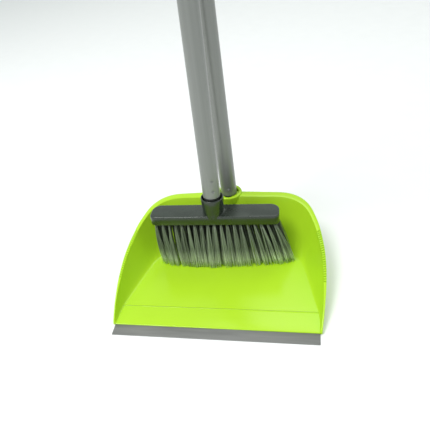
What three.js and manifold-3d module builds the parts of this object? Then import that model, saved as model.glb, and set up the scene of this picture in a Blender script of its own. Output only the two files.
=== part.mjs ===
// Upright dust pan with a clipped broom: tray on rear feet, rubber lip, two tube
// handles that screw into moulded sockets, and a broom head of tufts in a block.
// Millimetres, +Z up, the tray's lip faces -Y, the origin is under the middle.
import * as THREE from 'three';
import { mergeVertices } from 'three/addons/utils/BufferGeometryUtils.js';
import Module from 'manifold-3d';

const wasm = await Module();
wasm.setup();

// Overall depth from the lip's front edge to the back of the socket's foot.
const DEPTH = 222.3;
const GAP = 0.3;
const SEG = 28;

// Tray: right half of the rim's outer edge and of the floor's edge, front to back.
const LIP_HALF = 118.9;
const LIP_DEPTH = 14.3;
const RIM = [
  [121.5, 14.3], [124.8, 38.1], [127.5, 66.9], [127.9, 98.2], [125.1, 126.3],
  [118.9, 155.9], [106.3, 184.5], [83.1, 200.4], [45.1, 203.9], [0, 205.7],
];
const FLOOR = [
  [118.7, 14.3], [118.7, 38], [113.3, 64], [108.2, 88], [103.5, 110],
  [98.5, 126], [88, 136], [64, 139], [33, 139.5], [0, 139.5],
];
const FLANGE = [1.4, 1.6, 3.0, 4.5, 5.7, 7.7, 10.6, 11.6, 12.8, 13.0];
const RIM_FRONT_Z = 3.6;
const RIM_BACK_Z = 65.7;
const RIM_POWER = 0.76;
const FLOOR_Z = 3.2;
const RAMP_Z = 2.4;
const CREASE_Y = 42.6;
const WALL = 2.3;
const SECTION = 7;
const STATIONS = 25;
const FOOT_AT = 20;

// Comb of grooves across the two side rims.
const COMB_FROM = 67.3;
const COMB_TO = 141.9;
const COMB_PITCH = 3.2;
const COMB_SLOT = 1.4;
const COMB_DEPTH = 1.5;

// Tray socket and handle.
const PAN_SOCKET = [0, 201.7, 67.8];
const PAN_TILT = 2.06;
const SOCKET_R = 18.2;
const SOCKET_BORE = 13.4;
const TUBE_R = 11;
const TUBE_BORE = 10.2;
const THREAD_BORE = 8.4;
const PAN_TUBE_END = -1;
const PAN_TUBE_TOP = 640;
const PAN_MARKS = [[11.3, -80]];

// Broom: mouth of its socket and direction of its tube.
const BROOM_SOCKET = [-10.3, 141.2, 99.3];
const BROOM_AXIS = [0.019, 0.018, 1];
const BROOM_YAW = 2.1;
const BROOM_TUBE_END = 1.7;
const BROOM_TUBE_TOP = 760;
const BROOM_MARKS = [[12.3, -68], [26.4, -68]];
const SOCKET_RISE = 23.3;
const BLOCK_THICK = 12.8;
const BLOCK_HALF = 83.1;
const BLOCK_FRONT = 12.2;
const BLOCK_BACK = 17.5;
const COLLAR_Y = 2;
const PEG_Y = 2.6;
const TUFTS = 19;
const TUFT_PITCH = 8.5;
const PEG_R = 2.6;
const TIP_Z = 3.6;
const TIP_LEFT = -81;
const TIP_RIGHT = 84;
const TIP_PART = -17;
const PART_WIDTH = 8.9;
const LEFT_TUFTS = 9;
const TIP_FRONT = [
  [-88, 122], [-78, 118.5], [-48, 115], [-13, 114], [33, 118.5], [86, 126], [90, 126.5],
];
const TIP_BACK = 134.5;

// Grips, caps and clip.
const GRIP_R = 12.8;
const GRIP_LENGTH = 106;
const EYE_R = 5;
const CLIP_Z = 560;
const CLIP_HEIGHT = 20;
const CLIP_WALL = 2.6;

const COLOURS = {
  lime: { color: 0xb4f02c, roughness: 0.28, metalness: 0 },
  rubber: { color: 0x8b8d88, roughness: 0.75, metalness: 0 },
  steel: { color: 0x9a9c9a, roughness: 0.35, metalness: 0.6 },
  charcoal: { color: 0x4a544a, roughness: 0.55, metalness: 0 },
  bristle: { color: 0x6b7f52, roughness: 0.7, metalness: 0 },
};

// --- Small helpers -------------------------------------------------------

function toSolid(geometry) {
  const bare = new THREE.BufferGeometry();
  bare.setAttribute('position', geometry.getAttribute('position').clone());
  if (geometry.index) bare.setIndex(geometry.index.clone());
  const merged = mergeVertices(bare, 1e-4);
  const mesh = new wasm.Mesh({
    numProp: 3,
    vertProperties: new Float32Array(merged.getAttribute('position').array),
    triVerts: new Uint32Array(merged.index.array),
  });
  mesh.merge();
  return new wasm.Manifold(mesh);
}

function toGeometry(solid) {
  const mesh = solid.getMesh();
  const indexed = new THREE.BufferGeometry();
  indexed.setAttribute('position', new THREE.BufferAttribute(mesh.vertProperties, 3));
  indexed.setIndex(new THREE.BufferAttribute(mesh.triVerts, 1));
  return indexed;
}

function join(geometries) {
  return geometries.map(toSolid).reduce((a, b) => a.add(b));
}

function cut(base, tools) {
  return toGeometry(tools.map(toSolid).reduce((a, b) => a.subtract(b), base));
}

function lathe(points, segments = SEG) {
  const profile = points.map(([r, z]) => new THREE.Vector2(r, z));
  return new THREE.LatheGeometry(profile, segments).rotateX(Math.PI / 2);
}

function rod(radius, from, to, segments = SEG) {
  return lathe([[0, from], [radius, from], [radius, to], [0, to]], segments);
}

function box(x0, x1, y0, y1, z0, z1) {
  const geometry = new THREE.BoxGeometry(x1 - x0, y1 - y0, z1 - z0);
  return geometry.translate((x0 + x1) / 2, (y0 + y1) / 2, (z0 + z1) / 2);
}

// Prism whose outline lies in the YZ plane, centred on X.
function prismX(outline, width) {
  const shape = new THREE.Shape(outline.map(([y, z]) => new THREE.Vector2(y, z)));
  const geometry = new THREE.ExtrudeGeometry(shape, { depth: width, bevelEnabled: false });
  const turn = new THREE.Matrix4().set(0, 0, 1, -width / 2, 1, 0, 0, 0, 0, 1, 0, 0, 0, 0, 0, 1);
  return geometry.applyMatrix4(turn);
}

function panFrame() {
  const turn = new THREE.Matrix4().makeRotationX(THREE.MathUtils.degToRad(PAN_TILT));
  return new THREE.Matrix4().makeTranslation(...PAN_SOCKET).multiply(turn);
}

function broomFrame() {
  const axis = new THREE.Vector3(...BROOM_AXIS).normalize();
  const turn = new THREE.Quaternion().setFromUnitVectors(new THREE.Vector3(0, 0, 1), axis);
  const yaw = new THREE.Matrix4().makeRotationZ(THREE.MathUtils.degToRad(BROOM_YAW));
  const matrix = new THREE.Matrix4().makeRotationFromQuaternion(turn).multiply(yaw);
  return new THREE.Matrix4().makeTranslation(...BROOM_SOCKET).multiply(matrix);
}

// Smooth interpolation through a list of points, s from 0 to 1.
function along(points, s) {
  const last = points.length - 1;
  const k = Math.min(Math.floor(s * last), last - 1);
  const f = s * last - k;
  const p = [k - 1, k, k + 1, k + 2].map((i) => points[Math.max(0, Math.min(last, i))]);
  return Object.keys(p[1]).map((c) => catmull(p, c, f));
}

function catmull(p, c, f) {
  const a = 2 * p[1][c];
  const b = p[2][c] - p[0][c];
  const d = 2 * p[0][c] - 5 * p[1][c] + 4 * p[2][c] - p[3][c];
  const e = -p[0][c] + 3 * p[1][c] - 3 * p[2][c] + p[3][c];
  return 0.5 * (a + b * f + d * f * f + e * f * f * f);
}

function linear(table, x) {
  const last = table.length - 1;
  const k = Math.max(0, Math.min(last - 1, table.findIndex((row) => row[0] > x) - 1));
  const f = THREE.MathUtils.clamp((x - table[k][0]) / (table[k + 1][0] - table[k][0]), 0, 1);
  return table[k][1] + f * (table[k + 1][1] - table[k][1]);
}

// --- Tray ----------------------------------------------------------------

function rimHeight(y) {
  const u = THREE.MathUtils.clamp((y - LIP_DEPTH) / (RIM[9][1] - LIP_DEPTH), 0, 1);
  return RIM_FRONT_Z + (RIM_BACK_Z - RIM_FRONT_Z) * u ** RIM_POWER;
}

// One cross-section of the wall: s runs 0 (front corner) to 1 (middle of the back).
function wallSection(s, side) {
  const rim = along(RIM, s);
  const foot = along(FLOOR, s);
  const width = along(FLANGE.map((w) => [w]), s)[0];
  const reach = Math.hypot(rim[0] - foot[0], rim[1] - foot[1]);
  const dir = [(rim[0] - foot[0]) / reach, (rim[1] - foot[1]) / reach];
  const top = rimHeight(rim[1]);
  const inner = [];
  const run = Math.max(reach - width, 0.9);
  for (let k = 0; k <= SECTION; k++) {
    const t = k / SECTION;
    const d = 2 * t * (1 - t) * 0.36 * run + t * t * run;
    const z = FLOOR_Z + t * t * (top - FLOOR_Z);
    inner.push([d, z]);
  }
  const outer = inner.map(([d, z], k) => {
    const t = k / SECTION;
    const dd = 2 * (1 - 2 * t) * 0.36 * run + 2 * t * run;
    const dz = 2 * t * (top - FLOOR_Z);
    const m = Math.hypot(dd, dz);
    const spare = 0.03 * (SECTION - k);
    const drop = Math.min(z - (WALL * dd) / m, top - WALL - spare);
    const wide = Math.min(d + (WALL * dz) / m, reach - 0.2 - spare);
    return k === 0 ? [0, 0] : [wide, Math.max(0, drop)];
  });
  const loop = [...inner, [reach, top], [reach, top - WALL + 0.2], ...outer.reverse()];
  const place = ([d, z]) => [side * (foot[0] + d * dir[0]), foot[1] + d * dir[1], z];
  return { loop, points: loop.map(place), foot, dir, reach, inner };
}

function wallSweep() {
  const sections = [];
  for (let i = 0; i <= STATIONS; i++) sections.push(wallSection(i / STATIONS, -1));
  for (let i = STATIONS - 1; i >= 0; i--) sections.push(wallSection(i / STATIONS, 1));
  const n = sections[0].loop.length;
  const positions = sections.flatMap((section) => section.points.flat());
  const index = [];
  for (let i = 0; i < sections.length - 1; i++) {
    for (let j = 0; j < n; j++) {
      const a = i * n + j;
      const b = i * n + ((j + 1) % n);
      index.push(a, b, a + n, b, b + n, a + n);
    }
  }
  const cap = [];
  for (let k = 0; k <= SECTION; k++) {
    const m = n - 1 - k;
    cap.push([k, k + 1, m - 1], [k, m - 1, m]);
  }
  const end = (sections.length - 1) * n;
  cap.forEach(([a, b, c]) => index.push(a, c, b));
  cap.forEach(([a, b, c]) => index.push(end + a, end + b, end + c));
  const geometry = new THREE.BufferGeometry();
  geometry.setAttribute('position', new THREE.Float32BufferAttribute(positions, 3));
  geometry.setIndex(index);
  return facingOut(geometry);
}

// Turns every triangle over when the enclosed volume comes out negative.
function facingOut(geometry) {
  const p = geometry.getAttribute('position');
  const ids = geometry.index.array;
  let volume = 0;
  for (let i = 0; i < ids.length; i += 3) {
    const [a, b, c] = [0, 1, 2].map((k) => new THREE.Vector3().fromBufferAttribute(p, ids[i + k]));
    volume += a.dot(b.cross(c));
  }
  if (volume > 0) return geometry;
  const flipped = [];
  for (let i = 0; i < ids.length; i += 3) flipped.push(ids[i], ids[i + 2], ids[i + 1]);
  return geometry.setIndex(flipped);
}

function floorPlate() {
  const right = [];
  for (let i = 0; i <= STATIONS; i++) right.push(along(FLOOR, i / STATIONS));
  const grow = 0.3;
  const left = right.slice(0, -1).reverse().map(([x, y]) => [-x, y]);
  const outline = [...right, ...left].map(([x, y]) => {
    const wide = x + Math.sign(x) * grow;
    return new THREE.Vector2(wide, y > 100 ? y + grow : y);
  });
  const shape = new THREE.Shape(outline);
  return new THREE.ExtrudeGeometry(shape, { depth: FLOOR_Z, bevelEnabled: false });
}

// The front panel of the floor lies lower than the rest, behind a small step.
function rampCut() {
  const outline = [[10, RAMP_Z], [CREASE_Y, RAMP_Z + 0.2], [CREASE_Y, 6], [10, 6]];
  return prismX(outline, 2 * LIP_HALF - 1.2);
}

function lipSlot() {
  const half = LIP_HALF - 6;
  return box(-half, half, LIP_DEPTH - 1, LIP_DEPTH + 7.8, 0.7, 1.7);
}

// Stiffening foot that stands under the sloping back wall.
function rearFoot(side) {
  const section = wallSection(FOOT_AT / STATIONS, side);
  const under = section.inner.slice(1).map(([d, z]) => [d + 0.8, Math.max(z - 1.2, 0.5)]);
  const high = under[under.length - 1];
  const outline = [...under, [high[0] - 1, 0], [under[0][0], 0]];
  const shape = new THREE.Shape(outline.map(([d, z]) => new THREE.Vector2(d, z)));
  const geometry = new THREE.ExtrudeGeometry(shape, { depth: 4, bevelEnabled: false });
  geometry.translate(0, 0, -2).rotateX(Math.PI / 2);
  geometry.rotateZ(Math.atan2(section.dir[1], side * section.dir[0]));
  return geometry.translate(side * section.foot[0], section.foot[1], 0);
}

function combSlots() {
  const slots = [];
  let travelled = 0;
  let before = along(RIM, 0);
  for (let i = 1; i <= 2000; i++) {
    const s = i / 2000;
    const here = along(RIM, s);
    travelled += Math.hypot(here[0] - before[0], here[1] - before[1]);
    const turn = Math.atan2(here[1] - before[1], here[0] - before[0]);
    before = here;
    if (travelled < COMB_PITCH || here[1] < COMB_FROM || here[1] > COMB_TO) continue;
    travelled = 0;
    const deep = along(FLANGE.map((w) => [w]), s)[0] + 0.6;
    for (const side of [-1, 1]) {
      const slot = box(-COMB_SLOT / 2, COMB_SLOT / 2, -1, deep, -COMB_DEPTH, 5);
      slot.rotateZ(turn).translate(here[0], here[1], rimHeight(here[1]));
      if (side < 0) slots.push(facingOut(slot.scale(-1, 1, 1)));
      else slots.push(slot);
    }
  }
  return slots;
}

function panShell() {
  const frame = panFrame();
  const boss = lathe([[0, -75], [SOCKET_R, -75], [SOCKET_R, -0.9], [SOCKET_R - 0.9, 0], [0, 0]], 40);
  const bore = lathe([
    [0, -38], [THREAD_BORE, -38], [THREAD_BORE, -9], [SOCKET_BORE, -9],
    [SOCKET_BORE, -0.8], [SOCKET_BORE + 0.8, 0], [SOCKET_BORE + 0.8, 6], [0, 6],
  ], 40);
  const hollow = rod(SOCKET_R - 2.6, -80, -41, 40);
  const body = join([
    wallSweep(), floorPlate(), boss.applyMatrix4(frame), rearFoot(-1), rearFoot(1),
  ]);
  return cut(body, [
    box(-200, 200, -50, 300, -20, 0), bore.applyMatrix4(frame), hollow.applyMatrix4(frame),
    rampCut(), lipSlot(), ...combSlots(),
  ]);
}

function lipStrip() {
  const back = LIP_DEPTH - GAP;
  const blade = prismX([[0, 0], [back, 0], [back, 2.1], [0.8, 0.9], [0, 0.5]], 2 * LIP_HALF);
  const half = LIP_HALF - 6 - GAP;
  const tongue = box(-half, half, back - 2, LIP_DEPTH + 7.5, 0.9, 1.5);
  return toGeometry(join([blade, tongue]));
}

// --- Handles -------------------------------------------------------------

// Steel tube with the punched dimples that hold the threaded plug.
function handleTube(end, top, marks) {
  const wall = lathe([
    [TUBE_BORE, end], [TUBE_R, end], [TUBE_R, top], [TUBE_BORE, top], [TUBE_BORE, end],
  ]);
  const dimples = marks.map(([z, angle]) => {
    const dent = new THREE.SphereGeometry(3, 10, 6).translate(TUBE_R + 2.45, 0, z);
    return dent.rotateZ(THREE.MathUtils.degToRad(angle));
  });
  return cut(toSolid(wall), dimples);
}

function threadedPlug(end, length) {
  const points = [[0, -8.7 - length], [6.8, -8.7 - length]];
  for (let z = -8 - length; z < -13; z += 6) {
    points.push([7.1, z], [8, z + 2], [7.1, z + 4]);
  }
  const neck = end - GAP - 2;
  points.push([7.1, -8.7], [9.8, -8.7], [9.8, neck], [10.8, neck], [10.8, end - GAP]);
  points.push([9.9, end - GAP], [9.9, end + 34], [8.9, end + 36], [0, end + 36]);
  return lathe(points, 18);
}

function grip(top) {
  const low = top - GRIP_LENGTH;
  const inner = TUBE_R + GAP;
  const points = [[inner, low], [GRIP_R - 0.6, low], [GRIP_R, low + 1.5], [GRIP_R, low + 6]];
  for (let z = low + 12; z < top - 14; z += 24) {
    points.push([GRIP_R, z], [GRIP_R - 0.7, z + 1.5], [GRIP_R, z + 3]);
  }
  points.push([GRIP_R, top - 5.5], [GRIP_R - 0.6, top - 4], [inner, top - 4], [inner, low]);
  return lathe(points, 24);
}

// End cap pressed in the tube, with a flat eye to hang it by.
function eyeCap(top) {
  const stem = lathe([
    [0, top - 20], [9.2, top - 20], [9.9, top - 18], [9.9, top + GAP], [12.4, top + GAP],
    [12.4, top + 3], [10.4, top + 5], [0, top + 5],
  ], 20);
  const tab = new THREE.CylinderGeometry(9.5, 9.5, 6, 20).translate(0, 0, top + 12.5);
  const eye = new THREE.CylinderGeometry(EYE_R, EYE_R, 20, 16).translate(0, 0, top + 12.8);
  return cut(join([stem, tab]), [eye]);
}

// Sleeve round the tray's tube with an open jaw that the broom's tube snaps into.
function handleClip() {
  const jawFrame = broomFrame();
  const sleeveFrame = panFrame();
  const sleeveAt = CLIP_Z - PAN_SOCKET[2];
  const jawAt = CLIP_Z - BROOM_SOCKET[2];
  const half = CLIP_HEIGHT / 2;
  const outer = TUBE_R + GAP + CLIP_WALL;
  const sleeve = rod(outer, sleeveAt - half, sleeveAt + half).applyMatrix4(sleeveFrame);
  const jaw = rod(outer, jawAt - half, jawAt + half).applyMatrix4(jawFrame);
  const a = new THREE.Vector3(0, 0, sleeveAt).applyMatrix4(sleeveFrame);
  const b = new THREE.Vector3(0, 0, jawAt).applyMatrix4(jawFrame);
  const middle = (a.x + b.x) / 2;
  const bridge = box(middle - 5, middle + 5, b.y + 8, a.y - 8, CLIP_Z - 8, CLIP_Z + 8);
  const bore = TUBE_R + GAP;
  const reach = half + 4;
  return cut(join([sleeve, jaw, bridge]), [
    rod(bore, sleeveAt - reach, sleeveAt + reach).applyMatrix4(panFrame()),
    rod(bore, jawAt - reach, jawAt + reach).applyMatrix4(broomFrame()),
    box(-9, 9, -24, -4.5, jawAt - reach, jawAt + reach).applyMatrix4(broomFrame()),
  ]);
}

// --- Broom ---------------------------------------------------------------

function blockOutline() {
  const shape = new THREE.Shape();
  const front = 7;
  const back = 12;
  const x = BLOCK_HALF - 1.2;
  const y0 = -BLOCK_FRONT + 1.2;
  const y1 = BLOCK_BACK - 1.2;
  shape.moveTo(-x + front, y0);
  shape.lineTo(x - front, y0);
  shape.quadraticCurveTo(x, y0, x, y0 + front);
  shape.lineTo(x, y1 - back);
  shape.quadraticCurveTo(x, y1, x - back, y1);
  shape.lineTo(-x + back, y1);
  shape.quadraticCurveTo(-x, y1, -x, y1 - back);
  shape.lineTo(-x, y0 + front);
  shape.quadraticCurveTo(-x, y0, -x + front, y0);
  return shape;
}

function tuftX(i) {
  return (i - (TUFTS - 1) / 2) * TUFT_PITCH;
}

// The tips part between the left and the right group of tufts.
function tipX(i) {
  const last = TUFTS - 1;
  if (i < LEFT_TUFTS) {
    return TIP_LEFT + ((TIP_PART - TIP_LEFT) * i) / (LEFT_TUFTS - 1);
  }
  return TIP_RIGHT - ((TIP_RIGHT - TIP_PART - PART_WIDTH) * (last - i)) / (last - LEFT_TUFTS);
}

function brushBlock() {
  const bottom = -SOCKET_RISE - BLOCK_THICK;
  const slab = new THREE.ExtrudeGeometry(blockOutline(), {
    depth: BLOCK_THICK - 2.4,
    bevelEnabled: true,
    bevelThickness: 1.2,
    bevelSize: 1.2,
    bevelSegments: 2,
    curveSegments: 6,
  }).translate(0, 0, bottom + 1.2);
  const socket = lathe([
    [0, bottom + 4], [13.3, bottom + 4], [13.3, -20], [13.7, -13], [14.4, -6], [14.4, -0.6],
    [13.8, 0], [0, 0],
  ], 40);
  const collar = lathe([
    [0, bottom + 4], [15, bottom + 4], [15, -23], [13.6, -20.6], [12.6, -18], [0, -18],
  ], 32).translate(0, COLLAR_Y, 0);
  const bore = lathe([
    [0, -32], [THREAD_BORE, -32], [THREAD_BORE, -9], [12.3, -9], [12.3, -0.6], [12.9, 0],
    [12.9, 3], [0, 3],
  ], 40);
  const holes = [];
  for (let i = 0; i < TUFTS; i++) {
    holes.push(rod(PEG_R + GAP, bottom - 2, bottom + 3.4, 8).translate(tuftX(i), PEG_Y, 0));
  }
  return cut(join([slab, socket, collar]), [bore, ...holes]).applyMatrix4(broomFrame());
}

// One cross-row of bristles: a column that spreads toward the tray's floor.
function tuft(i) {
  const frame = broomFrame();
  const top = -SOCKET_RISE - BLOCK_THICK - GAP;
  const x = tuftX(i);
  const tip = tipX(i);
  const front = linear(TIP_FRONT, tip);
  const back = TIP_BACK - 2.5 * (Math.abs(tip) / 88) ** 4;
  const rows = [0, 0.5, 1].map((t) => {
    const half = 3.1 + (i < LEFT_TUFTS ? 0.7 : 1.6) * t;
    const corner = ([cx, cy]) => {
      const y = cy < 0 ? -BLOCK_FRONT + 2.8 : BLOCK_BACK - 2.8;
      const high = new THREE.Vector3(x + cx * 3.1, y, top).applyMatrix4(frame);
      const low = new THREE.Vector3(tip + cx * half, cy < 0 ? front : back, TIP_Z);
      const flat = high.clone().lerp(low, t);
      flat.y += (cy < 0 ? -1 : 1) * 1.5 * t * (1 - t) * 4 * 0.5;
      flat.x += 1.4 * (x / 80) ** 3 * t * (1 - t) * 4;
      return flat.toArray();
    };
    return [[-1, -1], [1, -1], [1, 1], [-1, 1]].map(corner);
  });
  const index = [0, 2, 1, 0, 3, 2, 8, 9, 10, 8, 10, 11];
  for (const base of [0, 4]) {
    for (let k = 0; k < 4; k++) {
      const a = base + k;
      const b = base + ((k + 1) % 4);
      index.push(a, b, a + 4, b, b + 4, a + 4);
    }
  }
  const column = new THREE.BufferGeometry();
  column.setAttribute('position', new THREE.Float32BufferAttribute(rows.flat(2), 3));
  column.setIndex(index);
  const peg = rod(PEG_R, top - 3, top + 3.2, 8).translate(x, PEG_Y, 0).applyMatrix4(frame);
  return toGeometry(join([facingOut(column), peg]));
}

// --- Assembly ------------------------------------------------------------

function part(name, geometry, slot) {
  const mesh = new THREE.Mesh(geometry, new THREE.MeshStandardMaterial(COLOURS[slot]));
  mesh.name = name;
  mesh.position.set(0, -DEPTH / 2, 0);
  return mesh;
}

const set = new THREE.Group();
set.name = 'dust_pan_and_brush_set';

set.add(part('pan_shell', panShell(), 'lime'));
set.add(part('lip_strip', lipStrip(), 'rubber'));
set.add(part('handle_clip', handleClip(), 'charcoal'));
const panTube = handleTube(PAN_TUBE_END, PAN_TUBE_TOP, PAN_MARKS).applyMatrix4(panFrame());
set.add(part('pan_tube', panTube, 'steel'));
const panPlug = threadedPlug(PAN_TUBE_END, 27).applyMatrix4(panFrame());
set.add(part('pan_tube_plug', panPlug, 'charcoal'));
set.add(part('pan_grip', grip(PAN_TUBE_TOP).applyMatrix4(panFrame()), 'charcoal'));
set.add(part('pan_cap', eyeCap(PAN_TUBE_TOP).applyMatrix4(panFrame()), 'charcoal'));
set.add(part('brush_block', brushBlock(), 'charcoal'));
const broomTube = handleTube(BROOM_TUBE_END, BROOM_TUBE_TOP, BROOM_MARKS);
set.add(part('brush_tube', broomTube.applyMatrix4(broomFrame()), 'steel'));
const broomPlug = threadedPlug(BROOM_TUBE_END, 21).applyMatrix4(broomFrame());
set.add(part('brush_tube_plug', broomPlug, 'charcoal'));
set.add(part('brush_grip', grip(BROOM_TUBE_TOP).applyMatrix4(broomFrame()), 'charcoal'));
set.add(part('brush_cap', eyeCap(BROOM_TUBE_TOP).applyMatrix4(broomFrame()), 'charcoal'));
for (let i = 0; i < TUFTS; i++) {
  const name = `tuft_${String(i + 1).padStart(2, '0')}`;
  set.add(part(name, tuft(i), 'bristle'));
}

export default set;
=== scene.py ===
"""Upright dust pan and broom: lime tray, grey tube handles, charcoal brush."""
import math
import random

import bpy
import bmesh
from mathutils import Matrix, Vector


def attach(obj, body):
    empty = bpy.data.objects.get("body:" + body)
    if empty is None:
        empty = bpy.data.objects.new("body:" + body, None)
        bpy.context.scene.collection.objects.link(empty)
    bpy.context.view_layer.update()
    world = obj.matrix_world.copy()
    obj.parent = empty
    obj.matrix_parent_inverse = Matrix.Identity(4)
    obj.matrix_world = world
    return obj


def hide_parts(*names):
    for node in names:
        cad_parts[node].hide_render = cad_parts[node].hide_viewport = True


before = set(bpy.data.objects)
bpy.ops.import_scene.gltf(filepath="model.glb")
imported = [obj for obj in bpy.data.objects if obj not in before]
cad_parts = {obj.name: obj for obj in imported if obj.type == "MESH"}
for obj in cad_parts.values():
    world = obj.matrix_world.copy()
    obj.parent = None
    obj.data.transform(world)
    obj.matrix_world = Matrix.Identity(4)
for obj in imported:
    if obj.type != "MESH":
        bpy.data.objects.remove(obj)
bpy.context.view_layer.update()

MM = 0.001
DEPTH = 222.3
SHIFT_Y = -DEPTH / 2

# Tray: right half of the rim's outer edge and of the floor's edge, front to back,
# in millimetres from the lip's front edge, and the rim's widths at the same places.
RIM = [(121.5, 14.3), (124.8, 38.1), (127.5, 66.9), (127.9, 98.2), (125.1, 126.3),
       (118.9, 155.9), (106.3, 184.5), (83.1, 200.4), (45.1, 203.9), (0, 205.7)]
FLOOR = [(118.7, 14.3), (118.7, 38), (113.3, 64), (108.2, 88), (103.5, 110),
         (98.5, 126), (88, 136), (64, 139), (33, 139.5), (0, 139.5)]
FLANGE = [1.4, 1.6, 3.0, 4.5, 5.7, 7.7, 10.6, 11.6, 12.8, 13.0]
RIM_FRONT_Z = 3.6
RIM_BACK_Z = 65.7
RIM_POWER = 0.76
FLOOR_Z = 3.2
WALL = 2.3
WALL_BOW = 0.36
WALL_STEPS = 18
EDGE_INSET = 0.1
AXIS = 0.01
LIP_HALF = 118.9
LIP_DEPTH = 14.3
LIP_BACK = 14.0
CREASE_Y = 42.6
FOOT_AT = 20 / 25

# Comb of grooves across the side rims: its extent, its pitch and one groove.
COMB_FROM = 67.3
COMB_TO = 141.9
COMB_PITCH = 3.2
COMB_SINK = 1.8
COMB_START = 0.3
COMB_FLARE = 0.12
COMB_SLOT = 1.3
TRAVEL_STEPS = 4000
FRONT_STEPS = 46
BACK_STEPS = 90

# Sockets, tubes, grips and caps.
PAN_SOCKET = Vector((0, 201.7, 67.8))
PAN_TILT = math.radians(2.06)
PAN_FRAME = Matrix.Translation(PAN_SOCKET) @ Matrix.Rotation(PAN_TILT, 4, "X")
BROOM_SOCKET = Vector((-10.3, 141.2, 99.3))
BROOM_AXIS = Vector((0.019, 0.018, 1)).normalized()
TURN = Vector((0, 0, 1)).rotation_difference(BROOM_AXIS)
YAW = Matrix.Rotation(math.radians(2.1), 4, "Z")
BROOM_FRAME = Matrix.Translation(BROOM_SOCKET) @ TURN.to_matrix().to_4x4() @ YAW
SOCKET_R = 18.1
SOCKET_BORE = 13.4
SOCKET_DEEP = 9
THREAD_BORE = 8.4
TUBE_R = 11
TUBE_BORE = 10.2
PAN_TUBE_END = -1
PAN_TOP = 640
PAN_MARKS = [(11.3, -80)]
BROOM_TUBE_END = 1.7
BROOM_TOP = 760
BROOM_MARKS = [(12.3, -68), (26.4, -68)]
GRIP_R = 12.8
GRIP_BORE = 11.3
GRIP_LENGTH = 106
EYE_R = 5.0
EYE_OUTER = 9.35
EYE_RISE = 12.6

# Punched dimples: a steep dent with a soft rim, and the reach of its floor, which is painted dark as
# shade in the recess.
DENT_DEPTH = 4.0
DENT_R = 1.35
DENT_RIM_DEPTH = 0.16
DENT_RIM_R = 2.4
DENT_REACH = 2.6
DENT_FLOOR_R = 10.1

# Broom head and bristles.
RISE = 23.3
BLOCK_HALF = 83.1
BLOCK_FRONT = 12.2
BLOCK_BACK = 17.5
COLLAR_Y = 2
FRONT_CORNER = 7.5
BACK_CORNER = 12
CORNER_STEPS = 8
BLOCK_LEVELS = [(-12.8, 0.9), (-12.5, 0.35), (-12.0, 0), (-1.3, 0), (-0.75, 0.12),
                (-0.32, 0.4), (-0.06, 0.9), (0, 1.5)]
TUFTS = 19
LEFT_TUFTS = 9
TUFT_PITCH = 8.5
ROOT_FRONT = -8.8
ROOT_SPAN = 22.6
ROOT_Z = -13.0
STRAND_R = 0.38
STRAND_STEPS = 7
CLUMPS = 9
PART_CLUMPS = 12
# Painted shade by row: the front row is painted light and the middle rows dark near the head,
# standing for the shade between tufts; the back row is painted half light.
ROW_PAINTED_SHADE = [(0.5, 1.0), (0.0, 0.4), (0.0, 0.25), (0.1, 0.6)]
TIP_Z = 3.5
TIP_LEFT = -81
TIP_RIGHT = 84
TIP_PITCH = 8
TIP_SPAN = 93.5
TIP_BACK = 132.5
TIP_LEFT_END = -90.5
TIP_RIGHT_END = 92
TIP_BACK_END = 134.5
TIP_FRONT = [(-88, 123), (-78, 118.5), (-48, 115), (-13, 114), (33, 118.5), (80, 125),
             (90, 129)]

# Camera: place in the tray's millimetres, lens in millimetres, angles in degrees.
CAMERA_PLACE = (101.641, -306.985, 390.564)
CAMERA_TURN = 13.959
CAMERA_DOWN = 34.723
CAMERA_ROLL = -8.406
SENSOR = 36
LENS = 36.533


# --- Geometry helpers ----------------------------------------------------

def metres(point):
    """A point in the tray's millimetres, in the frame's metres."""
    return Vector((point[0] * MM, (point[1] + SHIFT_Y) * MM, point[2] * MM))


def catmull(points, s):
    """Place at s, from 0 to 1, on the smooth curve through the points."""
    last = len(points) - 1
    k = min(int(s * last), last - 1)
    f = s * last - k
    p = [points[max(0, min(last, i))] for i in (k - 1, k, k + 1, k + 2)]
    out = []
    for c in range(len(p[0])):
        a, b = 2 * p[1][c], p[2][c] - p[0][c]
        d = 2 * p[0][c] - 5 * p[1][c] + 4 * p[2][c] - p[3][c]
        e = -p[0][c] + 3 * p[1][c] - 3 * p[2][c] + p[3][c]
        out.append(0.5 * (a + b * f + d * f * f + e * f ** 3))
    return out


def smooth(mesh, angle):
    for face in mesh.polygons:
        face.use_smooth = True
    mesh.set_sharp_from_angle(angle=math.radians(angle))


def new_piece(name, verts, faces, angle):
    """A mesh with shared corners joined, smooth up to the given angle."""
    mesh = bpy.data.meshes.new(name)
    mesh.from_pydata([tuple(metres(v)) for v in verts], [], faces)
    mesh.validate()
    bm = bmesh.new()
    bm.from_mesh(mesh)
    bmesh.ops.remove_doubles(bm, verts=bm.verts, dist=1e-6)
    bmesh.ops.recalc_face_normals(bm, faces=bm.faces)
    bm.to_mesh(mesh)
    bm.free()
    smooth(mesh, angle)
    piece = bpy.data.objects.new(name, mesh)
    bpy.context.scene.collection.objects.link(piece)
    return piece


def loft(loops, closed_loop=True, caps=True):
    """Faces between successive loops of equally many points."""
    n = len(loops[0])
    verts = [p for loop in loops for p in loop]
    faces = []
    for i in range(len(loops) - 1):
        for j in range(n if closed_loop else n - 1):
            a, b = i * n + j, i * n + (j + 1) % n
            faces.append((a, b, b + n, a + n))
    if caps:
        faces.append(tuple(reversed(range(n))))
        faces.append(tuple(range((len(loops) - 1) * n, len(loops) * n)))
    return verts, faces


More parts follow.
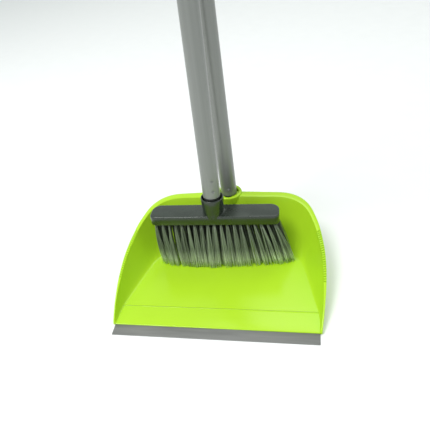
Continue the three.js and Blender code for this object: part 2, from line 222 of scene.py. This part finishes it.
def turned(profile, place, segments=64, shape=None):
    """Rings round the local Z axis; shape may move a point inward or outward."""
    verts, faces = [], []
    for r, z in profile:
        for k in range(segments):
            t = 2 * math.pi * k / segments
            rr = r + (shape(t, z, r) if shape else 0)
            verts.append(place @ Vector((rr * math.cos(t), rr * math.sin(t), z)))
    n = segments
    for i in range(len(profile) - 1):
        for k in range(n):
            a, b = i * n + k, i * n + (k + 1) % n
            faces.append((a, b, b + n, a + n))
    closed = profile[0] == profile[-1]
    if not closed:
        faces.append(tuple(reversed(range(n))))
        faces.append(tuple(range((len(profile) - 1) * n, len(profile) * n)))
    return verts, faces


def rounded(profile, radius=0.5, steps=3):
    """Rounds every corner of an open or closed profile of (r, z) points."""
    closed = profile[0] == profile[-1]
    pts = [Vector(p) for p in (profile[:-1] if closed else profile)]
    out = []
    n = len(pts)
    for i, p in enumerate(pts):
        if not closed and i in (0, n - 1):
            out.append(tuple(p))
            continue
        a, b = pts[i - 1] - p, pts[(i + 1) % n] - p
        cut = min(radius, 0.45 * a.length, 0.45 * b.length)
        a, b = p + a.normalized() * cut, p + b.normalized() * cut
        for k in range(steps + 1):
            t = k / steps
            q = a * (1 - t) ** 2 + p * (2 * t * (1 - t)) + b * t * t
            out.append(tuple(q))
    if closed:
        out.append(out[0])
    return out


def merge_parts(parts):
    """Several closed shells as one list of points and one of faces."""
    verts, faces = [], []
    for v, f in parts:
        base = len(verts)
        verts += v
        faces += [tuple(i + base for i in face) for face in f]
    return verts, faces


# --- Materials -----------------------------------------------------------

def shader(name, colour, rough, **sockets):
    mat = bpy.data.materials.new(name)
    mat.use_nodes = True
    nodes = mat.node_tree.nodes
    bsdf = nodes["Principled BSDF"]
    bsdf.inputs["Base Color"].default_value = (*colour, 1)
    bsdf.inputs["Roughness"].default_value = rough
    for key, value in sockets.items():
        bsdf.inputs[key.replace("_", " ")].default_value = value
    return mat, nodes, mat.node_tree.links, bsdf


def coordinates(nodes, links, scale):
    coord = nodes.new("ShaderNodeTexCoord")
    mapping = nodes.new("ShaderNodeMapping")
    mapping.inputs["Scale"].default_value = scale
    links.new(coord.outputs["Object"], mapping.inputs["Vector"])
    return mapping.outputs["Vector"]


def noise(nodes, links, vector, scale, detail=3.0, roughness=0.5):
    tex = nodes.new("ShaderNodeTexNoise")
    tex.inputs["Scale"].default_value = scale
    tex.inputs["Detail"].default_value = detail
    tex.inputs["Roughness"].default_value = roughness
    links.new(vector, tex.inputs["Vector"])
    return tex.outputs["Fac"]


def ramp(nodes, links, fac, stops):
    node = nodes.new("ShaderNodeValToRGB")
    node.color_ramp.elements[0].position = stops[0][0]
    node.color_ramp.elements[0].color = (*stops[0][1], 1)
    node.color_ramp.elements[1].position = stops[-1][0]
    node.color_ramp.elements[1].color = (*stops[-1][1], 1)
    for place, colour in stops[1:-1]:
        node.color_ramp.elements.new(place).color = (*colour, 1)
    links.new(fac, node.inputs["Fac"])
    return node.outputs["Color"]


def to_range(nodes, links, fac, low, high, a=0.3, b=0.7):
    node = nodes.new("ShaderNodeMapRange")
    node.inputs["From Min"].default_value = a
    node.inputs["From Max"].default_value = b
    node.inputs["To Min"].default_value = low
    node.inputs["To Max"].default_value = high
    links.new(fac, node.inputs["Value"])
    return node.outputs["Result"]


def bump(nodes, links, bsdf, height, strength, distance):
    node = nodes.new("ShaderNodeBump")
    node.inputs["Strength"].default_value = strength
    node.inputs["Distance"].default_value = distance
    links.new(height, node.inputs["Height"])
    links.new(node.outputs["Normal"], bsdf.inputs["Normal"])


def scaled(colour, k):
    return tuple(c * k for c in colour)


def plastic(name, colour, rough, grain, spread=0.06, strength=0.15, stretch=(1, 1, 1),
            wear=1, **sockets):
    """Moulded plastic: faint flow mottling, fine surface grain, uneven gloss."""
    mat, nodes, links, bsdf = shader(name, colour, rough, **sockets)
    v = coordinates(nodes, links, (1, 1, 1))
    cloud = noise(nodes, links, coordinates(nodes, links, stretch), 22, 4)
    fine = noise(nodes, links, v, grain, 3, 0.6)
    stops = [(0.25, scaled(colour, 1 - spread)), (0.75, scaled(colour, 1 + spread))]
    links.new(ramp(nodes, links, cloud, stops), bsdf.inputs["Base Color"])
    low, high = rough * (1 - 0.15 * wear), rough * (1 + 0.2 * wear)
    links.new(to_range(nodes, links, cloud, low, high), bsdf.inputs["Roughness"])
    bump(nodes, links, bsdf, fine, strength, 0.0002)
    return mat


def tube_finish(name, colour, rough):
    """Satin enamel over drawn tube: long streaks along the tube, fine specks."""
    mat, nodes, links, bsdf = shader(name, colour, rough, Metallic=0.25, Coat_Weight=0.25,
                                     Coat_Roughness=0.2)
    streak = noise(nodes, links, coordinates(nodes, links, (260, 260, 3)), 1.0, 4)
    speck = noise(nodes, links, coordinates(nodes, links, (1, 1, 1)), 2600, 2)
    stops = [(0.3, scaled(colour, 0.93)), (0.7, scaled(colour, 1.06))]
    links.new(ramp(nodes, links, streak, stops), bsdf.inputs["Base Color"])
    links.new(to_range(nodes, links, streak, rough * 0.85, rough * 1.2), bsdf.inputs["Roughness"])
    bump(nodes, links, bsdf, speck, 0.12, 0.0001)
    return mat


def bristle_finish(name, root, tip):
    """Each filament has its own tone plus the painted shade of its row, which gives way to a paler
    tone toward the ends; the colour runs darker at the head and paler at the tips.
    """
    mat, nodes, links, bsdf = shader(name, root, 0.5)
    attr = nodes.new("ShaderNodeVertexColor")
    attr.layer_name = "strand"
    split = nodes.new("ShaderNodeSeparateColor")
    links.new(attr.outputs["Color"], split.inputs["Color"])
    length = [(0.0, scaled(root, 0.8)), (0.6, root), (0.86, tip), (1.0, scaled(tip, 1.25))]
    base = ramp(nodes, links, split.outputs["Red"], length)
    tone = nodes.new("ShaderNodeHueSaturation")
    links.new(to_range(nodes, links, split.outputs["Green"], 0.05, 2.3, 0, 1), tone.inputs["Value"])
    links.new(base, tone.inputs["Color"])
    links.new(tone.outputs["Color"], bsdf.inputs["Base Color"])
    fine = noise(nodes, links, coordinates(nodes, links, (1, 1, 1)), 1500, 2)
    links.new(to_range(nodes, links, fine, 0.4, 0.65), bsdf.inputs["Roughness"])
    return mat


LIME = plastic("lime_plastic", (0.435, 0.71, 0.023), 0.2, 700, 0.02, 0.04,
               Specular_IOR_Level=0.3)
RUBBER = plastic("lip_rubber", (0.178, 0.18, 0.17), 0.45, 1500, 0.2, 0.35, (0.7, 9, 1), 1.5)
# The green cast in the charcoal's colour and coat tint is painted lime bounce light and reflection.
CHARCOAL = plastic("charcoal_plastic", (0.015, 0.021, 0.015), 0.26, 1100, 0.3, 0.2,
                   (1.6, 2.4, 1), 2, Coat_Weight=0.5, Coat_Roughness=0.2, Coat_Tint=(0.9, 1, 0.9, 1))
DARK = plastic("plug_plastic", (0.035, 0.04, 0.035), 0.5, 1100, 0.1, 0.25)
GRIP = plastic("grip_rubber", (0.055, 0.058, 0.055), 0.62, 2200, 0.14, 0.4)
GREY = tube_finish("grey_tube", (0.24, 0.247, 0.235), 0.34)
# The green cast of the bristle colours is painted lime bounce light on grey filaments.
BRISTLE = bristle_finish("bristle", (0.15, 0.18, 0.125), (0.42, 0.48, 0.33))


def dress(piece, material, body, slot, *nodes):
    piece.data.materials.clear()
    piece.data.materials.append(material)
    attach(piece, body)
    if nodes:
        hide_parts(*nodes)
    return piece


# --- Tray ----------------------------------------------------------------

def rim_height(y):
    """Height of the rim, which rises ever less steeply toward the back."""
    u = max(0.0, min(1.0, (y - LIP_DEPTH) / (RIM[-1][1] - LIP_DEPTH)))
    return RIM_FRONT_Z + (RIM_BACK_Z - RIM_FRONT_Z) * u ** RIM_POWER


def wall_faces(run, top, edge):
    """Inner and outer lines of the wall, as (distance from the floor's edge, z)."""
    inner, outer = [], []
    for k in range(WALL_STEPS + 1):
        t = k / WALL_STEPS
        d = 2 * t * (1 - t) * WALL_BOW * run + t * t * run
        z = FLOOR_Z + t * t * (top - FLOOR_Z)
        dd = 2 * (1 - 2 * t) * WALL_BOW * run + 2 * t * run
        dz = 2 * t * (top - FLOOR_Z)
        m = math.hypot(dd, dz)
        spare = 0.02 * (WALL_STEPS - k)
        wide = min(d + WALL * dz / m, edge - 0.2 - spare)
        drop = min(z - WALL * dd / m, top - WALL - spare)
        inner.append((d, z))
        outer.append((0, 0) if k == 0 else (wide, max(0, drop)))
    return inner, outer


def flange_edge(run, top, edge, sink):
    """Flat top of the rim and its rounded outer edge, inside to outside."""
    r = min(0.55, 0.3 * (edge - run) + 0.15)
    low = top - WALL
    high = top - sink
    return [(run - 0.3, min(top - 0.25, high)), (run + 0.25, high), (edge - r, high),
            (edge - 0.3 * r, max(high - 0.3 * r, low + 0.75)),
            (edge, max(high - r, low + 0.72)), (edge, low + 0.7), (edge - 0.5, low + 0.2)]


def wall_section(s, side, notch=False):
    """Closed outline of the wall at s: inner face, flange, outer face."""
    rim, foot = catmull(RIM, s), catmull(FLOOR, s)
    width = catmull([(w,) for w in FLANGE], s)[0]
    reach = math.hypot(rim[0] - foot[0], rim[1] - foot[1])
    dx, dy = (rim[0] - foot[0]) / reach, (rim[1] - foot[1]) / reach
    top = rim_height(rim[1])
    run = max(reach - width, 0.9)
    edge = reach - EDGE_INSET
    inner, outer = wall_faces(run, top, edge)
    flange = flange_edge(run, top, edge, COMB_SINK if notch else 0)
    outline = inner[:-1] + flange + outer[::-1]
    return [(side * (foot[0] + d * dx), foot[1] + d * dy, z) for d, z in outline], foot


def travel():
    """Rows of (s, y, distance along the rim) in steps too fine to see."""
    rows = []
    travelled, before = 0.0, catmull(RIM, 0)
    for i in range(1, TRAVEL_STEPS + 1):
        s = i / TRAVEL_STEPS
        here = catmull(RIM, s)
        travelled += math.dist(here, before)
        before = here
        rows.append((s, here[1], travelled))
    return rows


def stations():
    """(s, notch) along the right half, front to back, close together on the comb."""
    fine = travel()
    start = next(row[2] for row in fine if row[1] >= COMB_FROM)
    stop = next(row[2] for row in fine if row[1] >= COMB_TO)
    total = fine[-1][2]
    marks = [(start * k / FRONT_STEPS, False) for k in range(FRONT_STEPS + 1)]
    marks += [(stop + (total - stop) * k / BACK_STEPS, False) for k in range(1, BACK_STEPS + 1)]
    for k in range(int((stop - start) / COMB_PITCH)):
        base = start + (k + COMB_START) * COMB_PITCH
        marks += [(base, False), (base + COMB_FLARE, True),
                  (base + COMB_SLOT - COMB_FLARE, True), (base + COMB_SLOT, False)]
    marks.sort()
    out = [(0.0, False)]
    index = 0
    for far, notch in marks:
        while index < len(fine) - 1 and fine[index][2] < far:
            index += 1
        if fine[index][0] > out[-1][0]:
            out.append((fine[index][0], notch))
    out[-1] = (1.0, False)
    return out


def tray_floor(edge):
    """Floor plate: flat top, a lower front panel behind a soft crease."""
    crease_back = CREASE_Y + 0.9
    right = [p for p in edge if p[1] > crease_back]
    left = [(-x, y) for x, y in reversed(right)]
    shared = 1 if right[-1][0] < 0.01 else 0
    top = [(x, y, FLOOR_Z) for x, y in right + left[shared:]]
    half = LIP_HALF + 0.3
    rows = [(crease_back, FLOOR_Z), (CREASE_Y + 0.35, 3.16), (CREASE_Y + 0.05, 2.95),
            (CREASE_Y - 0.2, 2.6), (CREASE_Y - 0.45, 2.6), (CREASE_Y - 0.8, 2.95), (30, 2.8),
            (LIP_DEPTH + 0.9, 2.5), (LIP_DEPTH + 0.3, 2.3), (LIP_DEPTH, 2.0),
            (LIP_DEPTH, 0.4), (LIP_DEPTH, 0.0)]
    front = []
    for y, z in rows:
        x = half if y < CREASE_Y else min(half, top[0][0])
        front.append([(x * k, y, z) for k in (1, 0.5, 0, -0.5, -1)])
    panel = loft(front, closed_loop=False, caps=False)
    plate = (top, [tuple(range(len(top)))])
    corner = half - 0.5
    under = [(x, y, 0) for x, y, _ in top] + [(-corner, LIP_DEPTH, 0), (corner, LIP_DEPTH, 0)]
    bottom = (under, [tuple(reversed(range(len(under))))])
    return [panel, plate, bottom]


def tray_boss():
    """Moulded socket behind the tray, cut off level with the ground."""
    profile = [(SOCKET_R, -70.5), (SOCKET_R, -20), (SOCKET_R, -1.0), (SOCKET_R - 0.8, 0),
               (SOCKET_BORE + 1, 0), (SOCKET_BORE, -1.0), (SOCKET_BORE, -SOCKET_DEEP),
               (THREAD_BORE, -SOCKET_DEEP), (THREAD_BORE, -38), (AXIS, -38)]
    verts, faces = turned(rounded(profile, 0.55, 4), PAN_FRAME, 72)
    return [Vector((p[0], p[1], max(p[2], 0))) for p in verts], faces


def rear_foot(side):
    """Upright rib between the sloping wall and the ground."""
    points, foot = wall_section(FOOT_AT, side)
    inner = points[2:WALL_STEPS]
    end = points[WALL_STEPS + 2]
    outward = Vector((end[0] - foot[0] * side, end[1] - foot[1], 0)).normalized()
    across = Vector((-outward.y, outward.x, 0))
    shift = outward * 0.8
    low, high = inner[0], inner[-1]
    outline = [Vector((p[0], p[1], max(p[2] - 1.2, 0.4))) + shift for p in inner]
    outline += [Vector((high[0], high[1], 0)), Vector((low[0], low[1], 0)) + shift]
    loops = []
    for offset, shrink in ((-2, 0.25), (-1.75, 0), (1.75, 0), (2, 0.25)):
        loop = []
        for p in outline:
            q = p + across * offset
            loop.append(Vector((q.x, q.y, q.z + (shrink if q.z < 0.1 else 0))))
        loops.append(loop)
    return loft(loops)


def build_tray():
    """Walls with their flange, socket, rear feet and floor, in one piece."""
    row = stations()
    loops, edge = [], []
    for s, notch in row:
        points, foot = wall_section(s, -1, notch)
        loops.append(points)
        edge.append(tuple(foot))
    for s, notch in reversed(row[:-1]):
        loops.append(wall_section(s, 1, notch)[0])
    parts = [loft(loops), tray_boss(), rear_foot(-1), rear_foot(1)] + tray_floor(edge)
    verts, faces = merge_parts(parts)
    tray = new_piece("tray", verts, faces, 32)
    return dress(tray, LIME, "pan", "lime_plastic", "pan_shell")


def build_lip():
    """Grey strip with a thinned, slightly rounded front edge and a hidden tongue."""
    profile = [(0.25, 0), (LIP_BACK, 0), (LIP_BACK, 1.9), (LIP_BACK - 0.3, 2.1), (6, 1.5),
               (1.0, 0.95), (0.35, 0.75), (0, 0.4)]
    half = LIP_HALF
    loops = []
    for x in [-half, -half + 0.4, -half / 2, 0, half / 2, half - 0.4, half]:
        inset = 0.25 if abs(x) == half else 0
        loop = []
        for y, z in profile:
            loop.append((x, min(max(y, inset), LIP_BACK - inset), max(z - inset, 0.02)))
        loops.append(loop)
    tongue_half = half - 6.3
    tongue = []
    for x in (-tongue_half, tongue_half):
        tongue.append([(x, 13, 0.9), (x, 21.8, 0.9), (x, 21.8, 1.5), (x, 13, 1.5)])
    verts, faces = merge_parts([loft(loops), loft(tongue)])
    return dress(new_piece("lip", verts, faces, 40), RUBBER, "pan", "lip_rubber", "lip_strip")


# --- Tubes, grips and caps -----------------------------------------------

def dimple(marks):
    """Inward dents of the punched marks, each at a height and an angle round the tube."""
    def dent(t, z, r):
        if r < TUBE_R - 0.4:
            return 0
        depth = 0
        for height, angle in marks:
            turn = (t - math.radians(angle) + math.pi) % (2 * math.pi) - math.pi
            far = math.hypot(TUBE_R * turn, z - height)
            depth -= DENT_DEPTH * math.exp(-((far / DENT_R) ** 6))
            depth -= DENT_RIM_DEPTH * math.exp(-((far / DENT_RIM_R) ** 2))
        return depth
    return dent


def paint_dent_shade(tube, place, marks):
    """Gives the floor of each dent the plug's dark plastic: painted shade in the recess."""
    tube.data.materials.append(DARK)
    shift = Vector((0, SHIFT_Y, 0))
    for face in tube.data.polygons:
        p = place.inverted() @ (face.center / MM - shift)
        sunk = math.hypot(p.x, p.y) < DENT_FLOOR_R
        for height, angle in marks:
            t = math.radians(angle)
            aim = Vector((TUBE_R * math.cos(t), TUBE_R * math.sin(t), height))
            if sunk and math.dist(p, aim) < DENT_REACH:
                face.material_index = 1


def build_tube(name, body, node, place, end, top, marks):
    """Drawn tube with rounded ends, finely divided where the dimples are."""
    outer = [(10.45, end), (10.8, end + 0.05), (TUBE_R, end + 0.3)]
    z = end + 0.9
    while z < 31:
        outer.append((TUBE_R, z))
        z += 0.4
    outer += [(TUBE_R, 60), (TUBE_R, top / 2), (TUBE_R, top - 0.3), (10.8, top),
              (TUBE_BORE, top)]
    profile = outer + [(TUBE_BORE, top / 2), (TUBE_BORE, end + 0.3), (10.45, end)]
    verts, faces = turned(profile, place, 180, dimple(marks))
    tube = dress(new_piece(name, verts, faces, 40), GREY, body, "grey_tube", node)
    paint_dent_shade(tube, place, marks)
    return tube


def build_grip(name, body, node, place, top):
    """Rubber sleeve ringed by grooves, with six shallow flutes along it."""
    low = top - GRIP_LENGTH
    lip = GRIP_R - 0.6
    groove = GRIP_R - 0.7
    profile = [(GRIP_BORE, low), (lip, low), (GRIP_R, low + 1.5), (GRIP_R, low + 8)]
    z = low + 11
    while z < top - 16:
        profile += [(GRIP_R, z), (groove, z + 0.7), (groove, z + 1.9), (GRIP_R, z + 2.6)]
        z += 4.6
    profile += [(GRIP_R, top - 6), (lip, top - 4), (GRIP_BORE, top - 4), (GRIP_BORE, low)]

    def flute(t, z, r):
        if r < GRIP_BORE + 0.3:
            return 0
        return -0.28 * (0.5 + 0.5 * math.cos(6 * t)) ** 3

    verts, faces = turned(rounded(profile, 0.35, 2), place, 96, flute)
    return dress(new_piece(name, verts, faces, 50), GRIP, body, "charcoal_plastic", node)


def eye_tab(place, top):
    """Flat ring with rounded edges that stands on the cap."""
    section = [(EYE_R, 2.2), (EYE_R + 0.8, 3.0), (EYE_OUTER - 0.75, 3.0), (EYE_OUTER, 2.2)]
    section += [(r, -y) for r, y in reversed(section)]
    ring = []
    for k in range(64):
        t = 2 * math.pi * k / 64
        loop = []
        for r, y in section:
            loop.append(place @ Vector((r * math.cos(t), y, top + EYE_RISE + r * math.sin(t))))
        ring.append(loop)
    ring.append(ring[0])
    return loft(ring, caps=False)


def build_cap(name, body, node, place, top):
    """Stem inside the tube, domed cap over its end, and the hanging eye."""
    stem = TUBE_BORE - 0.3
    profile = [(AXIS, top - 20), (stem - 0.7, top - 20), (stem, top - 18), (stem, top + 0.3),
               (12.4, top + 0.3), (12.4, top + 3), (10.4, top + 4.9), (6, top + 5.4),
               (AXIS, top + 5.5)]
    parts = [turned(rounded(profile, 0.8, 3), place, 64), eye_tab(place, top)]
    verts, faces = merge_parts(parts)
    return dress(new_piece(name, verts, faces, 40), CHARCOAL, body, "charcoal_plastic", node)


def carry(node, material, width):
    """A CAD node kept as it is, with softened edges and a new finish."""
    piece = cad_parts[node]
    for slot in range(len(piece.material_slots)):
        piece.material_slots[slot].material = material
    soft = piece.modifiers.new("edges", "BEVEL")
    soft.width = width
    soft.segments = 2
    soft.limit_method = "ANGLE"
    soft.angle_limit = math.radians(40)


# --- Broom head ----------------------------------------------------------

def block_outline(inset):
    """Plan of the head at a given inset: tight front corners, round rear ones."""
    hx, y0, y1 = BLOCK_HALF - inset, -BLOCK_FRONT + inset, BLOCK_BACK - inset
    corners = [((hx, y0), FRONT_CORNER, -90), ((hx, y1), BACK_CORNER, 0),
               ((-hx, y1), BACK_CORNER, 90), ((-hx, y0), FRONT_CORNER, 180)]
    out = []
    for (x, y), r, start in corners:
        r = max(r - inset, 1)
        cx, cy = x - math.copysign(r, x), y + (r if y < 0 else -r)
        for k in range(CORNER_STEPS + 1):
            a = math.radians(start + 90 * k / CORNER_STEPS)
            out.append((cx + r * math.cos(a), cy + r * math.sin(a)))
    return out


def head_socket():
    """Round socket that stands through the head, with a bore and a thread hole."""
    profile = [(13.3, -27), (13.3, -20), (13.7, -13), (14.4, -6), (14.45, -1.0),
               (14.1, -0.15), (13.5, 0), (12.9, -0.15), (12.4, -0.9), (12.3, -SOCKET_DEEP),
               (THREAD_BORE, -SOCKET_DEEP), (THREAD_BORE, -30), (AXIS, -30)]
    return turned(rounded(profile, 0.35, 2), BROOM_FRAME, 80)


def head_collar():
    """Low ring at the socket's foot, set back a little."""
    ring = [(10.9, -27), (15, -27), (15, -23), (14.2, -21.8), (13.4, -20.4), (12.6, -18),
            (10.9, -18), (10.9, -27)]
    place = BROOM_FRAME @ Matrix.Translation((0, COLLAR_Y, 0))
    return turned(rounded(ring, 0.5, 3), place, 80)


def head_nub():
    """Small moulding pip on the head's right end."""
    sideways = Matrix.Rotation(math.pi / 2, 4, "Y")
    place = BROOM_FRAME @ Matrix.Translation((BLOCK_HALF - 0.2, -1, -30)) @ sideways
    return turned([(AXIS, -0.8), (1.0, -0.7), (1.1, 0.2), (AXIS, 0.45)], place, 20)


def build_block():
    """Head with softened edges, its socket, collar and pip, in one piece."""
    loops = []
    for z, inset in BLOCK_LEVELS:
        loops.append([BROOM_FRAME @ Vector((x, y, z - RISE)) for x, y in block_outline(inset)])
    verts, faces = merge_parts([loft(loops), head_socket(), head_collar(), head_nub()])
    block = new_piece("brush_head", verts, faces, 38)
    return dress(block, CHARCOAL, "brush", "charcoal_plastic", "brush_block")


def tip_front(x):
    """Front line of the bristle tips on the ground."""
    for (xa, ya), (xb, yb) in zip(TIP_FRONT, TIP_FRONT[1:]):
        if x <= xb:
            return ya + (yb - ya) * max(0, x - xa) / (xb - xa)
    return TIP_FRONT[-1][1]


def strand(rng, root, tip, bow, shade, out):
    """One filament: a thin three-sided tapering rod along a bowed line."""
    verts, faces, marks = out
    twist = rng.uniform(0, 6)
    pale = rng.uniform(0.3, 0.95)
    base = len(verts)
    for k in range(STRAND_STEPS + 1):
        t = k / STRAND_STEPS
        p = root.lerp(tip, t) + bow * (4 * t * (1 - t))
        r = STRAND_R * (1 - 0.5 * t)
        for m in range(3):
            a = 2 * math.pi * (m / 3) + twist
            verts.append((p.x + r * math.cos(a), p.y + r * math.sin(a), p.z))
            # The row's painted shade fades into the paler tip tone toward the end.
            marks.append((t, shade + (pale - shade) * t ** 3))
    for k in range(STRAND_STEPS):
        for m in range(3):
            a, b = base + 3 * k + m, base + 3 * k + (m + 1) % 3
            faces.append((a, b, b + 3, a + 3))
    end = base + 3 * STRAND_STEPS
    faces.append((end, end + 1, end + 2))
    faces.append((base + 2, base + 1, base))


def clump(rng, root, tip, spread, shade, out):
    """Filaments that lie together: one streak of the tuft."""
    for _ in range(rng.choice((3, 4, 5))):
        a, q = rng.uniform(0, 2 * math.pi), rng.random()
        start = root + Vector((0.4 * q * math.cos(a), 0.4 * q * math.sin(a), 0))
        loose = 2.4 if shade > 0.3 and rng.random() < 0.15 else 0.5
        end = tip + Vector((rng.gauss(0, loose), rng.gauss(0, loose), abs(rng.gauss(0, 0.8))))
        end.x = max(TIP_LEFT_END, min(TIP_RIGHT_END, end.x))
        end.y = max(tip_front(end.x) - 1.2, min(TIP_BACK_END, end.y))
        bow = Vector((rng.gauss(0, 0.3), rng.gauss(-0.4, 0.3), 0)) + spread
        tone = min(1, max(0.06, shade + rng.gauss(0, 0.2)))
        strand(rng, start, end, bow, tone, out)


def tip_place(i):
    """Middle and half width of a tuft's tips; the tips part at the tenth tuft."""
    if i < LEFT_TUFTS:
        return TIP_LEFT + TIP_PITCH * i, 4.0
    return TIP_RIGHT - TIP_SPAN * (TUFTS - 1 - i) / (TUFTS - 1 - LEFT_TUFTS), 5.2


def tuft_strands(i):
    """All filaments of a cross-row: four holes from front to back, in clumps."""
    rng = random.Random(100 + i)
    out = ([], [], [])
    x0 = (i - LEFT_TUFTS) * TUFT_PITCH
    tip_x, tip_half = tip_place(i)
    outward = 1.6 * (x0 / 76) ** 3
    parting = i in (LEFT_TUFTS - 1, LEFT_TUFTS)
    for j, shades in enumerate(ROW_PAINTED_SHADE):
        f = j / (len(ROW_PAINTED_SHADE) - 1)
        y0 = ROOT_FRONT + ROOT_SPAN * f
        lean = rng.uniform(-1.3, 1.3)
        # Back rows spread wider so their dark strands fill the gaps with painted shade.
        wide = 2.9 if j else 1.3
        reach = tip_half + (0.9 if j else 0)
        for _ in range(PART_CLUMPS if parting else CLUMPS):
            a, q = rng.uniform(0, 2 * math.pi), math.sqrt(rng.random())
            side = Vector((math.cos(a), math.sin(a), 0)) * q
            hole = Vector((x0 + wide * side.x, y0 + 1.7 * side.y, ROOT_Z - RISE))
            tx = tip_x + lean + reach * side.x
            front = tip_front(tx)
            ty = front + 1.2 + (TIP_BACK - front) * f + 2.2 * side.y
            spread = Vector((outward + 0.5 * side.x, 0, 0))
            # Painted shade of the row, with a random tone within it.
            shade = rng.uniform(*shades)
            clump(rng, BROOM_FRAME @ hole, Vector((tx, ty, TIP_Z)), spread, shade, out)
    return out


def build_tuft(i):
    """One tuft's filaments, each marked with its length so far and its tone with painted shade."""
    verts, faces, marks = tuft_strands(i)
    mesh = bpy.data.meshes.new(f"bristles_{i + 1:02d}")
    mesh.from_pydata([tuple(metres(v)) for v in verts], [], faces)
    layer = mesh.color_attributes.new("strand", "FLOAT_COLOR", "POINT")
    for n, (t, shade) in enumerate(marks):
        layer.data[n].color = (t, shade, 0, 1)
    for face in mesh.polygons:
        face.use_smooth = True
    piece = bpy.data.objects.new(mesh.name, mesh)
    bpy.context.scene.collection.objects.link(piece)
    return dress(piece, BRISTLE, "brush", "bristle", f"tuft_{i + 1:02d}")


# --- Scene ---------------------------------------------------------------

def build_stage():
    """Pale ground that only the picture uses, and an even, faintly cool sky."""
    bpy.ops.mesh.primitive_plane_add(size=8, location=(0, 0, 0))
    ground = bpy.context.object
    ground.name = "ground"
    ground.data.materials.append(plastic("ground_paint", (0.9, 0.9, 0.9), 0.7, 60, 0.01, 0.02))
    world = bpy.data.worlds.new("studio")
    bpy.context.scene.world = world
    world.use_nodes = True
    sky = world.node_tree.nodes["Background"]
    sky.inputs["Color"].default_value = (0.93, 1, 0.98, 1)
    sky.inputs["Strength"].default_value = 0.68


def area_light(name, location, target, size, power):
    """Square light: place, aim and size in metres, power in watts."""
    data = bpy.data.lights.new(name, "AREA")
    data.shape = "SQUARE"
    data.size = size
    data.energy = power
    light = bpy.data.objects.new(name, data)
    light.location = location
    direction = Vector(target) - Vector(location)
    light.rotation_euler = direction.to_track_quat("-Z", "Y").to_euler()
    bpy.context.scene.collection.objects.link(light)


def build_lights():
    area_light("key", (-0.8, -0.6, 2.1), (0, 0, 0.05), 0.9, 30)
    area_light("fill", (1.5, -1.0, 1.3), (0, 0, 0.1), 1.6, 3)
    area_light("back", (0.3, 2.3, 3.8), (0, 1.4, 0), 2.0, 34)


def build_camera():
    """Looks down at the tray from its front right, rolled a little."""
    az, el = math.radians(CAMERA_TURN), math.radians(CAMERA_DOWN)
    roll = math.radians(CAMERA_ROLL)
    back = Vector((math.sin(az) * math.cos(el), -math.cos(az) * math.cos(el), math.sin(el)))
    right = (-back).cross(Vector((0, 0, 1))).normalized()
    up = right.cross(-back)
    x = right * math.cos(roll) + up * math.sin(roll)
    y = up * math.cos(roll) - right * math.sin(roll)
    data = bpy.data.cameras.new("camera")
    data.sensor_width = SENSOR
    data.lens = LENS
    data.clip_start = 0.01
    camera = bpy.data.objects.new("camera", data)
    turn = Matrix((x, y, back)).transposed().to_4x4()
    camera.matrix_world = Matrix.Translation(metres(CAMERA_PLACE)) @ turn
    bpy.context.scene.collection.objects.link(camera)
    bpy.context.scene.camera = camera


bpy.context.scene.view_settings.view_transform = "Standard"
build_camera()
build_tray()
build_lip()
build_tube("pan_handle_tube", "pan_handle", "pan_tube", PAN_FRAME, PAN_TUBE_END,
           PAN_TOP, PAN_MARKS)
build_tube("broom_handle_tube", "brush_handle", "brush_tube", BROOM_FRAME,
           BROOM_TUBE_END, BROOM_TOP, BROOM_MARKS)
build_grip("pan_hand_grip", "pan_handle", "pan_grip", PAN_FRAME, PAN_TOP)
build_grip("broom_hand_grip", "brush_handle", "brush_grip", BROOM_FRAME, BROOM_TOP)
build_cap("pan_end_cap", "pan_handle", "pan_cap", PAN_FRAME, PAN_TOP)
build_cap("broom_end_cap", "brush_handle", "brush_cap", BROOM_FRAME, BROOM_TOP)
build_block()
for number in range(TUFTS):
    build_tuft(number)
carry("handle_clip", CHARCOAL, 0.0006)
carry("pan_tube_plug", DARK, 0.0002)
carry("brush_tube_plug", DARK, 0.0002)
build_stage()
build_lights()
